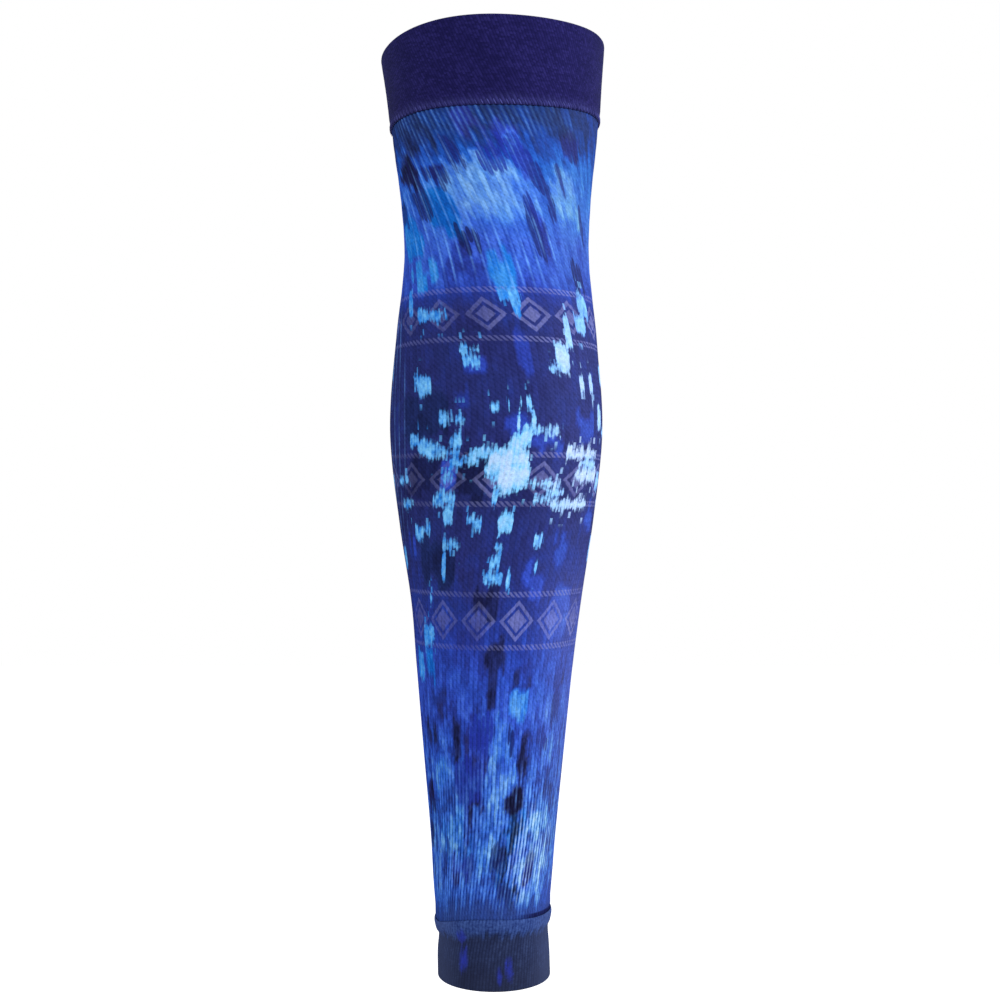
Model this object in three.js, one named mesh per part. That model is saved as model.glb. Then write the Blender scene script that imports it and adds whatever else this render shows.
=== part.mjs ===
// An arm compression sleeve, as it sits on a relaxed arm: a ribbed knitted tube with a folded band at
// the upper arm and a rolled cuff at the wrist.
// Millimetres, +Z up the arm towards the shoulder, the front at -Y.
// The origin is the middle of the elbow, on the arm's axis.

import * as THREE from "three";

// Driving sizes
const UPPER_REACH = 128; // elbow to the folded top edge
const WRIST_REACH = 270.5; // elbow to the wrist edge
const BAND_HEIGHT = 35; // folded band at the upper arm
const CUFF_HEIGHT = 30.5; // wrist cuff, its rolled seam included
const LAP = 5; // length of tube tucked under the band and under the cuff's roll
const GAP = 0.3; // clearance between two pieces

// Knit
const KNIT_WALL = 1.1; // mean wall of the tube
const RIB_COUNT = 56; // main ribs round the arm
const RIB_RISE = 0.25; // crest above, and groove below, the mean wall
const BAND_WALL = 2.7; // the band is two layers
const CUFF_WALL = 1.6;

// Facets
const BAND_SIDES = 60;
const OUTER_ROWS = 22;
const INNER_ROWS = 14;
const FOLD_STEPS = 4; // facets over a folded edge

// The arm's surface from the wrist up. A row is one course of the knit: its height at the front, the half
// sizes and the middle of the arm there, its rise at the right-hand side (and fall at the left), its droop
// at both sides, and how far the ribs have turned round the arm.
const ARM = [
  { course: -270.5, halfX: 22.7, halfY: 20.2, midX: -0.4, midY: -3.4, lean: 0.0, droop: 0.0, turnDeg: -36 },
  { course: -255, halfX: 22.4, halfY: 20.2, midX: -0.7, midY: -3.2, lean: 1.0, droop: 1.6, turnDeg: -32 },
  { course: -247, halfX: 22.1, halfY: 20.3, midX: -0.7, midY: -3.1, lean: 1.8, droop: 2.7, turnDeg: -29 },
  { course: -240, halfX: 23.1, halfY: 21.1, midX: -0.9, midY: -3.0, lean: 2.5, droop: 3.6, turnDeg: -27 },
  { course: -205, halfX: 26.0, halfY: 24.0, midX: -0.7, midY: -2.4, lean: 0.9, droop: 1.8, turnDeg: -18 },
  { course: -170, halfX: 29.4, halfY: 27.6, midX: -0.5, midY: -1.7, lean: 0.2, droop: 0.5, turnDeg: -15 },
  { course: -135, halfX: 32.8, halfY: 31.2, midX: -0.1, midY: -0.9, lean: 0.0, droop: 0.0, turnDeg: -13 },
  { course: -109, halfX: 35.6, halfY: 34.3, midX: 0.5, midY: -0.3, lean: 0.0, droop: 0.0, turnDeg: -11 },
  { course: -74, halfX: 40.9, halfY: 39.6, midX: 0.5, midY: 0.6, lean: 0.0, droop: 0.0, turnDeg: -5 },
  { course: -35, halfX: 44.9, halfY: 43.8, midX: 0.5, midY: 1.6, lean: 0.0, droop: 0.0, turnDeg: 2 },
  { course: 4, halfX: 42.5, halfY: 43.4, midX: 0.6, midY: 2.6, lean: 0.0, droop: 0.0, turnDeg: -4 },
  { course: 40, halfX: 38.9, halfY: 41.0, midX: 0.7, midY: 2.2, lean: 0.2, droop: -0.8, turnDeg: -18 },
  { course: 66, halfX: 40.2, halfY: 42.0, midX: 0.4, midY: 1.2, lean: 0.8, droop: -1.9, turnDeg: -34 },
  { course: 93, halfX: 42.6, halfY: 44.2, midX: 0.0, midY: 0.2, lean: 1.6, droop: -3.0, turnDeg: -52 },
  { course: 110, halfX: 43.7, halfY: 45.5, midX: -0.4, midY: -0.4, lean: 2.2, droop: -1.6, turnDeg: -63 },
  { course: 128, halfX: 45.8, halfY: 47.2, midX: -1.0, midY: -1.0, lean: 3.0, droop: 0.0, turnDeg: -72 },
];
const SIZES = ["halfX", "halfY", "midX", "midY", "lean", "droop", "turnDeg"];

// The band's outside from its lower edge up: the rise above the seam, and the lift off the arm
const BAND_OUTSIDE = [
  { rise: 0.0, lift: 2.2 }, // lower edge of the lip
  { rise: 0.9, lift: 2.95 }, // linking ridge
  { rise: 2.6, lift: 2.55 }, // sewn groove
  { rise: 5.0, lift: 2.9 },
  { rise: 17.5, lift: 3.0 }, // the two layers puff out a little
];

// The cuff's outside from near the wrist edge up: the drop below the seam, and the lift off the arm
const CUFF_OUTSIDE = [
  { drop: 20.0, lift: 1.7 },
  { drop: 11.0, lift: 1.5 },
  { drop: 7.2, lift: 1.6 },
  { drop: 5.8, lift: 2.2 }, // foot of the roll
  { drop: 3.8, lift: 2.5 },
  { drop: 1.8, lift: 2.5 },
  { drop: 0.5, lift: 2.2 },
  { drop: 0.0, lift: 1.95 }, // top of the roll
];
const LIP_ROUND = 0.5; // the inner edge of a lip is rounded off by this much

// Colours
const PRINT_BLUE = 0x2f4fb0;
const BAND_NAVY = 0x251f63;
const CUFF_SLATE = 0x2a3058;
const KNIT_ROUGHNESS = 0.9;

// A smooth run of the table's sizes from course to course
const armSizes = new THREE.CubicInterpolant(
  ARM.map((row) => row.course),
  ARM.flatMap((row) => SIZES.map((size) => row[size])),
  SIZES.length,
  new Float64Array(SIZES.length),
);

function armAt(course) {
  const values = armSizes.evaluate(course);
  return Object.fromEntries(SIZES.map((size, i) => [size, values[i]]));
}

// A closed ring round the arm at one course, lifted off the arm's surface by liftOf(i) at each side i
function ringRound(course, sides, liftOf, turned) {
  const arm = armAt(course);
  const turn = turned ? THREE.MathUtils.degToRad(arm.turnDeg) : 0;
  return Array.from({ length: sides }, (_, i) => {
    const angle = (2 * Math.PI * i) / sides + turn;
    const across = Math.cos(angle);
    const lift = liftOf(i);
    return new THREE.Vector3(
      arm.midX + (arm.halfX + lift) * across,
      arm.midY + (arm.halfY + lift) * Math.sin(angle),
      course + arm.lean * across ** 3 - arm.droop * across ** 2,
    );
  });
}

// A closed wall through rings of equal length: each ring joins the next, and the last joins the first.
// The rings run up the outside and down the inside, so that the faces point out of the wall.
function wallThrough(rings) {
  const sides = rings[0].length;
  const index = [];
  rings.forEach((_, r) => {
    const here = r * sides;
    const next = ((r + 1) % rings.length) * sides;
    for (let i = 0; i < sides; i++) {
      const j = (i + 1) % sides;
      index.push(here + i, here + j, next + j);
      index.push(here + i, next + j, next + i);
    }
  });
  const geometry = new THREE.BufferGeometry().setFromPoints(rings.flat());
  geometry.setIndex(index);
  geometry.computeVertexNormals();
  return geometry;
}

function evenly(from, to, count) {
  return Array.from({ length: count }, (_, i) => THREE.MathUtils.lerp(from, to, i / (count - 1)));
}

// A band swept round the arm: its profile is a closed run of points, x the lift off the arm and y the course
function sweptBand(profile) {
  return wallThrough(profile.map((point) => ringRound(point.y, BAND_SIDES, () => point.x, false)));
}

// Points of a folded edge: half a turn over a wall of that thickness, starting at startAngle
function foldedEdge(wall, edgeCourse, startAngle) {
  const radius = wall / 2;
  const middle = edgeCourse - radius * Math.sign(edgeCourse);
  const arc = new THREE.EllipseCurve(radius, middle, radius, radius, startAngle, startAngle + Math.PI);
  return arc.getPoints(FOLD_STEPS);
}

function knit(colour) {
  return new THREE.MeshStandardMaterial({ color: colour, roughness: KNIT_ROUGHNESS, metalness: 0 });
}

function piece(name, geometry, colour) {
  const mesh = new THREE.Mesh(geometry, knit(colour));
  mesh.name = name;
  return mesh;
}

const bandSeam = UPPER_REACH - BAND_HEIGHT; // lower edge of the band
const cuffSeam = CUFF_HEIGHT - WRIST_REACH; // upper edge of the cuff's roll
const ribCrest = KNIT_WALL + RIB_RISE;
const lipInside = ribCrest + GAP; // inner face of whatever laps over the tube

// The ribbed tube, tucked under the band above and under the roll below
function sleeveBody() {
  const sides = 2 * RIB_COUNT;
  const top = bandSeam + LAP;
  const bottom = cuffSeam - LAP;
  const ribbed = (i) => (i % 2 ? KNIT_WALL - RIB_RISE : ribCrest);
  const outside = evenly(bottom, top, OUTER_ROWS).map((course) => ringRound(course, sides, ribbed, true));
  const inside = evenly(top, bottom, INNER_ROWS).map((course) => ringRound(course, sides, () => 0, true));
  return wallThrough([...outside, ...inside]);
}

// The folded band: a lip over the tube's end, a linking ridge above it, and two layers up to the fold
function upperBand() {
  const shoulder = bandSeam + LAP + GAP;
  return sweptBand([
    new THREE.Vector2(lipInside, bandSeam + LIP_ROUND),
    ...BAND_OUTSIDE.map(({ rise, lift }) => new THREE.Vector2(lift, bandSeam + rise)),
    ...foldedEdge(BAND_WALL, UPPER_REACH, 0),
    new THREE.Vector2(0, bandSeam + BAND_HEIGHT / 2),
    new THREE.Vector2(0, shoulder),
    new THREE.Vector2(lipInside, shoulder),
  ]);
}

// The wrist cuff: a plain wall up from the folded edge, and a rolled seam over the tube's end
function wristCuff() {
  const shoulder = cuffSeam - LAP - GAP;
  return sweptBand([
    ...foldedEdge(CUFF_WALL, -WRIST_REACH, Math.PI),
    ...CUFF_OUTSIDE.map(({ drop, lift }) => new THREE.Vector2(lift, cuffSeam - drop)),
    new THREE.Vector2(lipInside, cuffSeam - LIP_ROUND),
    new THREE.Vector2(lipInside, shoulder),
    new THREE.Vector2(0, shoulder),
    new THREE.Vector2(0, cuffSeam - CUFF_HEIGHT / 2),
  ]);
}

const sleeve = new THREE.Group();
sleeve.name = "arm_compression_sleeve";
sleeve.add(
  piece("sleeve_body", sleeveBody(), PRINT_BLUE),
  piece("upper_band", upperBand(), BAND_NAVY),
  piece("wrist_cuff", wristCuff(), CUFF_SLATE),
);

export default sleeve;
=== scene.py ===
import math
from functools import partialmethod
from typing import NamedTuple

import bmesh
import bpy
import numpy as np
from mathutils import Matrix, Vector


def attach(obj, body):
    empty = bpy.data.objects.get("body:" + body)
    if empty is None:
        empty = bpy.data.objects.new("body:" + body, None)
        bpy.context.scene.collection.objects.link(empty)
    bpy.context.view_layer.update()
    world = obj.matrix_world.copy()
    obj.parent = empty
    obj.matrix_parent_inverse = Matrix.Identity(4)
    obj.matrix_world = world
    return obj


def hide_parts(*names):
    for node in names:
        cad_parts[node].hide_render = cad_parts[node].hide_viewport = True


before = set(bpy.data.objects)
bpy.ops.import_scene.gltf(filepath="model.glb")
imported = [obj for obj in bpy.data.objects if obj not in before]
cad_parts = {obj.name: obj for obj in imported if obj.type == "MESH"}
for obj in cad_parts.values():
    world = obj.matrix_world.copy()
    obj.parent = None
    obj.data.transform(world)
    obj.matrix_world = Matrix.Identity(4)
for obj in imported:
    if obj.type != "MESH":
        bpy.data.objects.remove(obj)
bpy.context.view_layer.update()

# An arm compression sleeve as it sits on an arm: a ribbed printed tube, a folded navy band at the upper
# arm and a slate cuff with a rolled seam at the wrist. Metres; the tables are in millimetres.
MM = 0.001
TURN = 2 * math.pi
FRONT = -math.pi / 2  # the side that faces the camera


class Course(NamedTuple):
    """One course of the knit: its height at the front, the arm's half sizes and middle there, its rise at
    the right-hand side, its droop at both sides, and how far the wales have turned round the arm."""

    height: float
    half_x: float
    half_y: float
    mid_x: float
    mid_y: float
    lean: float
    droop: float
    turn_deg: float


ARM = (
    Course(-270.5, 22.7, 20.2, -0.4, -3.4, 0.0, 0.0, -36),
    Course(-255, 22.4, 20.2, -0.7, -3.2, 1.0, 1.6, -32),
    Course(-247, 22.1, 20.3, -0.7, -3.1, 1.8, 2.7, -29),
    Course(-240, 23.1, 21.1, -0.9, -3.0, 2.5, 3.6, -27),
    Course(-205, 26.0, 24.0, -0.7, -2.4, 0.9, 1.8, -18),
    Course(-170, 29.4, 27.6, -0.5, -1.7, 0.2, 0.5, -15),
    Course(-135, 32.8, 31.2, -0.1, -0.9, 0.0, 0.0, -13),
    Course(-109, 35.6, 34.3, 0.5, -0.3, 0.0, 0.0, -11),
    Course(-74, 40.9, 39.6, 0.5, 0.6, 0.0, 0.0, -5),
    Course(-35, 44.9, 43.8, 0.5, 1.6, 0.0, 0.0, 2),
    Course(4, 42.5, 43.4, 0.6, 2.6, 0.0, 0.0, -4),
    Course(40, 38.9, 41.0, 0.7, 2.2, 0.2, -0.8, -18),
    Course(66, 40.2, 42.0, 0.4, 1.2, 0.8, -1.9, -34),
    Course(93, 42.6, 44.2, 0.0, 0.2, 1.6, -3.0, -52),
    Course(110, 43.7, 45.5, -0.4, -0.4, 2.2, -1.6, -63),
    Course(128, 45.8, 47.2, -1.0, -1.0, 3.0, 0.0, -72),
)

# Knit
FINE_RIBS = 112
COLUMNS = 2 * FINE_RIBS  # a crest and a groove for each fine rib
BODY_ROWS = 200
KNIT_WALL = 1.1 * MM
RIB_LIFTS = (0.0062, -0.0052, 0.0034, -0.0052)  # crest, groove, lower crest and groove, in half widths
COURSE_PITCH = 0.9 * MM
FINE_COURSE_PITCH = 0.8 * MM  # in the band and the cuff
TWILL_PITCH = 2.2 * MM
UNDER_BAND_FULLNESS = 0.8 * MM  # the tube swells a little just under the band
UNDER_BAND_SPAN = (60 * MM, 88 * MM)
HEM_FULLNESS = 0.4 * MM  # and where it goes into the roll
HEM_TOP = 6 * MM  # above the roll, where that starts
HEM_FOOT = 0.5 * MM

# Band and cuff
UPPER_REACH = 128 * MM
WRIST_REACH = 270.5 * MM
BAND_HEIGHT = 35 * MM
CUFF_HEIGHT = 30.5 * MM
BAND_WALL = 2.7 * MM
CUFF_WALL = 1.6 * MM
LAP = 5 * MM  # length of tube tucked under the band and under the roll
GAP = 0.3 * MM  # clearance between two pieces
LIP_INSIDE = 1.65 * MM  # lift of the inner face over the tube's end
FOLD_RINGS = 8  # over a folded edge
LIP_ROUND = 0.5 * MM  # the inner edge of a lip is rounded off by this much
INNER_SHARE = 0.6  # share of a band's height at the middle ring of its inside
BAND_SEAM = UPPER_REACH - BAND_HEIGHT
CUFF_SEAM = CUFF_HEIGHT - WRIST_REACH

WALE_MAP = "wale_map"
BAKE_MAP = "OFBake"

HEIGHTS = np.array([row.height for row in ARM])
ARM_ROWS = np.array(ARM, float)
STEPS = np.diff(ARM_ROWS, axis=0) / np.diff(HEIGHTS)[:, None]
SLOPES = np.vstack([STEPS[:1], (STEPS[:-1] + STEPS[1:]) / 2, STEPS[-1:]])


def arm_at(height):
    """The arm at one height or at many, smooth from row to row, in metres and degrees."""
    at = np.clip(np.asarray(height, float) / MM, HEIGHTS[0], HEIGHTS[-1])
    row = np.clip(np.searchsorted(HEIGHTS, at) - 1, 0, len(HEIGHTS) - 2)
    span = HEIGHTS[row + 1] - HEIGHTS[row]
    t = ((at - HEIGHTS[row]) / span)[..., None]
    span = span[..., None]
    sizes = (
        (2 * t**3 - 3 * t**2 + 1) * ARM_ROWS[row]
        + (t**3 - 2 * t**2 + t) * span * SLOPES[row]
        + (3 * t**2 - 2 * t**3) * ARM_ROWS[row + 1]
        + (t**3 - t**2) * span * SLOPES[row + 1]
    )
    turn = sizes[..., -1]
    return Course(*np.moveaxis(sizes * MM, -1, 0))._replace(turn_deg=turn)


def smooth(low, high, value):
    """0 at low and 1 at high, smooth between."""
    t = np.clip((value - low) / (high - low), 0, 1)
    return t * t * (3 - 2 * t)


# Modelling


def reshape(middle, wide, deep):
    bpy.ops.transform.resize(value=(wide, deep, 1), center_override=middle)


def turn_ring(middle, degrees):
    # with no window the operator turns the other way
    bpy.ops.transform.rotate(value=-math.radians(degrees), orient_axis="Z", center_override=middle)


def select_points(piece, wanted):
    edit = bmesh.from_edit_mesh(piece.data)
    edit.verts.ensure_lookup_table()
    for point in edit.verts:
        point.select_set(bool(wanted(point.index)))
    edit.select_flush_mode()
    bmesh.update_edit_mesh(piece.data)


def lay_rings(name, profile, turned=False, lifts=()):
    """A tube of rings round the arm, each extruded from the last. A ring is its lift off the arm and its
    height. Where lifts are given, the first ring's points are moved in or out by them in turn."""
    lift, height = profile[0]
    arm = arm_at(height)
    size = (float(arm.half_x + lift), float(arm.half_y + lift))
    middle = Vector((arm.mid_x, arm.mid_y, height))
    turn = float(arm.turn_deg) if turned else 0.0
    bpy.ops.object.select_all(action="DESELECT")
    bpy.ops.mesh.primitive_circle_add(
        vertices=COLUMNS, radius=size[0], location=middle, fill_type="NOTHING"
    )
    piece = bpy.context.object
    piece.name = piece.data.name = name
    bpy.ops.object.transform_apply(location=True, rotation=True, scale=True)
    bpy.ops.object.mode_set(mode="EDIT")
    for n, rise in enumerate(lifts):
        select_points(piece, lambda i: i % len(lifts) == n)
        reshape(middle, 1 + rise, 1 + rise)
    bpy.ops.mesh.select_all(action="SELECT")
    turn_ring(middle, turn)
    reshape(middle, 1, size[1] / size[0])
    for lift, height in profile[1:]:
        arm = arm_at(height)
        old_size, old_turn = size, turn
        size = (float(arm.half_x + lift), float(arm.half_y + lift))
        move = Vector((arm.mid_x, arm.mid_y, height)) - middle
        middle += move
        bpy.ops.mesh.extrude_edges_move(TRANSFORM_OT_translate={"value": move})
        reshape(middle, 1 / old_size[0], 1 / old_size[1])
        if turned:
            turn = float(arm.turn_deg)
            turn_ring(middle, turn - old_turn)
        reshape(middle, *size)
    return piece


def face_out():
    """Turns every face outwards and leaves edit mode."""
    bpy.ops.mesh.select_all(action="SELECT")
    bpy.ops.mesh.normals_make_consistent(inside=False)
    bpy.ops.object.mode_set(mode="OBJECT")


def apply_modifier(piece, kind, **settings):
    bpy.context.view_layer.objects.active = piece
    modifier = piece.modifiers.new(kind.lower(), kind)
    for key, value in settings.items():
        setattr(modifier, key, value)
    bpy.ops.object.modifier_apply(modifier=modifier.name)


def read(items, key, width=1, kind=float):
    values = np.empty(width * len(items), kind)
    items.foreach_get(key, values)
    return values


def points_of(piece):
    return read(piece.data.vertices, "co", 3).reshape(-1, 3)


def corners_of(piece):
    """The point at each corner of each face, and the first corner of that face."""
    mesh = piece.data
    point = read(mesh.loops, "vertex_index", kind=int)
    first = read(mesh.polygons, "loop_start", kind=int)
    count = read(mesh.polygons, "loop_total", kind=int)
    return point, np.repeat(first, count)


def round_arm(places):
    """The arm at each place, and how far right and back the place is, in half sizes of the arm."""
    arm = arm_at(places[:, 2])
    right = (places[:, 0] - arm.mid_x) / arm.half_x
    back = (places[:, 1] - arm.mid_y) / arm.half_y
    return arm, right, back


def add_map(piece, name, across, up):
    layer = piece.data.uv_layers.new(name=name)
    layer.uv.foreach_set("vector", np.stack([across, up], 1).ravel())


def read_wales(piece):
    return read(piece.data.uv_layers[WALE_MAP].uv, "vector", 2).reshape(-1, 2).T


def map_wales(piece):
    """A map that follows the knit: across is the wale, from 0 to 1 round the arm, and up is the
    height."""
    places = points_of(piece)
    arm, right, back = round_arm(places)
    wale = ((np.arctan2(back, right) - np.radians(arm.turn_deg)) / TURN) % 1
    point, first = corners_of(piece)
    around = wale[point]
    around += np.round(around[first] - around)
    add_map(piece, WALE_MAP, around, places[point, 2])


def lay_flat(piece, order):
    """A second map with no overlap, for baking: across is the way round the arm, and up is the way along
    the piece's closed profile. Its points are stored ring by ring, and order is that of the rings along
    the profile."""
    margin = 0.01
    point, first = corners_of(piece)
    starts, face = np.unique(first, return_inverse=True)
    stored = points_of(piece).reshape(-1, COLUMNS, 3)[:, 0]
    loop = stored[[*order, order[0]]]
    along = np.append(0, np.cumsum(np.linalg.norm(np.diff(loop, axis=0), axis=1)))
    ring = np.argsort(order)[point // COLUMNS]
    closing = np.maximum.reduceat(ring, starts) - np.minimum.reduceat(ring, starts) > 1
    ring[closing[face] & (ring == 0)] = len(order)
    around, _ = read_wales(piece)
    across = (around + margin) / (1 + 2 * margin)
    up = (along[ring] / along[-1] + margin) / (1 + 2 * margin)
    add_map(piece, BAKE_MAP, across, up)


def settle(piece):
    """Lets each course lean and droop as it does on the arm."""
    reach = 10 * MM  # more than any course rises or falls by
    arm, right, back = round_arm(points_of(piece))
    across = right / np.hypot(right, back)
    rise = arm.lean * across**3 - arm.droop * across**2
    group = piece.vertex_groups.new(name="course_rise")
    for index, share in enumerate(0.5 + rise / reach):
        group.add([index], share, "REPLACE")
    apply_modifier(
        piece, "DISPLACE", direction="Z", strength=reach, mid_level=0, vertex_group=group.name
    )
    piece.vertex_groups.clear()
    bpy.ops.object.mode_set(mode="EDIT")
    bpy.ops.mesh.select_all(action="SELECT")
    bpy.ops.transform.translate(value=(0, 0, -reach / 2))
    bpy.ops.object.mode_set(mode="OBJECT")


def make_body():
    # two close rows, where the tube draws in under the band's lip
    under_lip = (BAND_SEAM - 0.05 * MM, BAND_SEAM + 0.35 * MM)
    rows = np.linspace(CUFF_SEAM - LAP, BAND_SEAM + LAP, BODY_ROWS - len(under_lip))
    rows = np.sort(np.append(rows, under_lip))
    full = smooth(*UNDER_BAND_SPAN, rows) * (rows < BAND_SEAM)
    hem = smooth(CUFF_SEAM + HEM_TOP, CUFF_SEAM + HEM_FOOT, rows)
    lifts = KNIT_WALL + UNDER_BAND_FULLNESS * full + HEM_FULLNESS * hem
    body = lay_rings("printed_tube", list(zip(lifts, rows)), True, RIB_LIFTS)
    face_out()
    map_wales(body)
    settle(body)
    body.data.materials.append(printed_knit())
    body.data.materials.append(knit_inside())
    inner = {"material_offset": 1, "material_offset_rim": 1}
    apply_modifier(body, "SOLIDIFY", thickness=KNIT_WALL, offset=-1, **inner)
    lay_flat(body, [*range(BODY_ROWS), *reversed(range(BODY_ROWS, 2 * BODY_ROWS))])
    paint_print(body, rows)
    bpy.ops.object.shade_smooth()
    return body


def make_hoop(name, profile, material):
    """A closed band round the arm, its profile running up the outside and down the inside."""
    hoop = lay_rings(name, profile)
    bpy.ops.mesh.select_all(action="DESELECT")
    bpy.ops.mesh.select_mode(type="EDGE")
    bpy.ops.mesh.select_non_manifold()
    bpy.ops.mesh.bridge_edge_loops()
    bpy.ops.mesh.select_mode(type="VERT")
    face_out()
    map_wales(hoop)
    settle(hoop)
    lay_flat(hoop, range(len(profile)))
    hoop.data.materials.append(material)
    bpy.ops.object.shade_smooth()
    return hoop


def folded_edge(wall, edge, up):
    """The rings of a folded edge, from the outside over to the inside."""
    radius = wall / 2
    return [
        (radius + radius * math.cos(t), edge + up * radius * (math.sin(t) - 1))
        for t in np.linspace(0, math.pi, FOLD_RINGS)
    ]


class Ring(NamedTuple):
    """One ring of the outside of the band or the cuff."""

    rise: float  # above the seam
    lift: float  # off the arm


def rings(*rows):
    return [Ring(*row) for row in rows]


BAND_OUTSIDE = rings(
    (0.0, 2.2),
    (0.3, 2.6),
    (0.9, 2.95),
    (1.5, 2.9),
    (2.2, 2.6),
    (2.8, 2.55),
    (3.8, 2.75),
    (5.5, 2.9),
    (10.0, 2.95),
    (17.5, 3.0),
    (25.0, 2.9),
    (30.0, 2.8),
)
CUFF_OUTSIDE = rings(
    (-25.0, 1.65),
    (-20.0, 1.7),
    (-15.0, 1.6),
    (-11.0, 1.5),
    (-8.5, 1.5),
    (-7.2, 1.6),
    (-6.5, 1.85),
    (-5.8, 2.2),
    (-4.8, 2.42),
    (-3.8, 2.5),
    (-2.6, 2.55),
    (-1.6, 2.5),
    (-0.8, 2.35),
    (-0.3, 2.15),
    (0.0, 1.95),
)
STITCH_HALF = np.array((0.3, 0.28, 1.3)) * MM  # across, out from the arm and lengthwise
STITCH_SLANT_DEG = 30
STITCH_RISE = 1.1 * MM  # above the band's seam
STITCH_LIFT = 2.85 * MM  # off the arm


def outside(table, seam):
    """The rings of a table as lifts and heights."""
    return [(ring.lift * MM, seam + ring.rise * MM) for ring in table]


def make_band():
    shoulder = BAND_SEAM + LAP + GAP
    profile = [
        (LIP_INSIDE, BAND_SEAM + LIP_ROUND),
        *outside(BAND_OUTSIDE, BAND_SEAM),
        *folded_edge(BAND_WALL, UPPER_REACH, 1),
        (0, BAND_SEAM + INNER_SHARE * BAND_HEIGHT),
        (0, shoulder),
        (LIP_INSIDE, shoulder),
    ]
    return make_hoop("navy_band", profile, band_knit())


def make_stitches():
    """A slanted stitch for each wale, over the ridge where the band is linked to the tube."""
    bpy.ops.object.select_all(action="DESELECT")
    bpy.ops.mesh.primitive_uv_sphere_add(segments=6, ring_count=5, radius=1)
    piece = bpy.context.object
    piece.name = piece.data.name = "linking_stitches"
    grain = points_of(piece) * STITCH_HALF
    faces = [tuple(face.vertices) for face in piece.data.polygons]
    slant = math.radians(STITCH_SLANT_DEG)
    height = BAND_SEAM + STITCH_RISE
    arm = arm_at(height)
    places, all_faces = [], []
    for angle in np.linspace(0, TURN, FINE_RIBS, endpoint=False):
        right, back = math.cos(angle), math.sin(angle)
        middle = (
            arm.mid_x + (arm.half_x + STITCH_LIFT) * right,
            arm.mid_y + (arm.half_y + STITCH_LIFT) * back,
            height + arm.lean * right**3 - arm.droop * right**2,
        )
        out = np.array((right, back, 0))
        beside = np.array((-back, right, 0))
        up = np.array((0, 0, 1))
        across = math.cos(slant) * beside + math.sin(slant) * up
        lengthwise = math.cos(slant) * up - math.sin(slant) * beside
        all_faces += [tuple(len(grain) * len(places) + i for i in face) for face in faces]
        places.append(grain @ np.array((across, out, lengthwise)) + middle)
    piece.data.clear_geometry()
    piece.data.from_pydata(np.concatenate(places), [], all_faces)
    bpy.ops.object.mode_set(mode="EDIT")
    face_out()
    piece.data.materials.append(stitch_yarn())
    bpy.ops.object.shade_smooth()
    return piece


def make_cuff():
    shoulder = CUFF_SEAM - LAP - GAP
    edge = folded_edge(CUFF_WALL, -WRIST_REACH, -1)
    profile = [
        *edge[::-1],
        *outside(CUFF_OUTSIDE, CUFF_SEAM),
        (LIP_INSIDE, CUFF_SEAM - LIP_ROUND),
        (LIP_INSIDE, shoulder),
        (0, shoulder),
        (0, CUFF_SEAM - INNER_SHARE * CUFF_HEIGHT),
    ]
    return make_hoop("slate_cuff", profile, cuff_knit())


# Print


class Patch(NamedTuple):
    """A patch of the print, as seen from the front: its place right of the middle and above the elbow, its
    half sizes, its tone from 0 for navy black to 1 for near white, and its hue from royal blue at 0 to
    azure at 1."""

    across: float
    height: float
    wide: float
    tall: float
    tone: float = 0.0
    azure: float = 0.2


def patches(*rows):
    return [Patch(*row) for row in rows]


class Ground(NamedTuple):
    """The print between the patches at one height, and how much the wales differ there."""

    height: float
    tone: float
    azure: float
    streaks: float


GROUND = [Ground(*row) for row in (
    (-250, 0.31, 0.4, 0.15),
    (-236, 0.33, 0.4, 0.2),
    (-226, 0.46, 0.4, 0.65),
    (-210, 0.5, 0.4, 0.75),
    (-190, 0.45, 0.4, 0.65),
    (-165, 0.42, 0.2, 0.45),
    (-146, 0.41, 0.1, 0.3),
    (-136, 0.37, 0.1, 0.25),
    (-112, 0.29, 0.1, 0.18),
    (-102, 0.24, 0.1, 0.13),
    (-75, 0.19, 0.1, 0.1),
    (-66, 0.18, 0.1, 0.1),
    (-52, 0.18, 0.1, 0.1),
    (-40, 0.19, 0.1, 0.1),
    (0, 0.19, 0.1, 0.1),
    (14, 0.23, 0.1, 0.12),
    (24, 0.4, 0.1, 0.24),
    (40, 0.49, 0.2, 0.28),
    (60, 0.52, 0.5, 0.3),
    (72, 0.44, 0.6, 0.34),
    (84, 0.28, 0.7, 0.26),
    (98, 0.22, 0.7, 0.16),
)]
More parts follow.
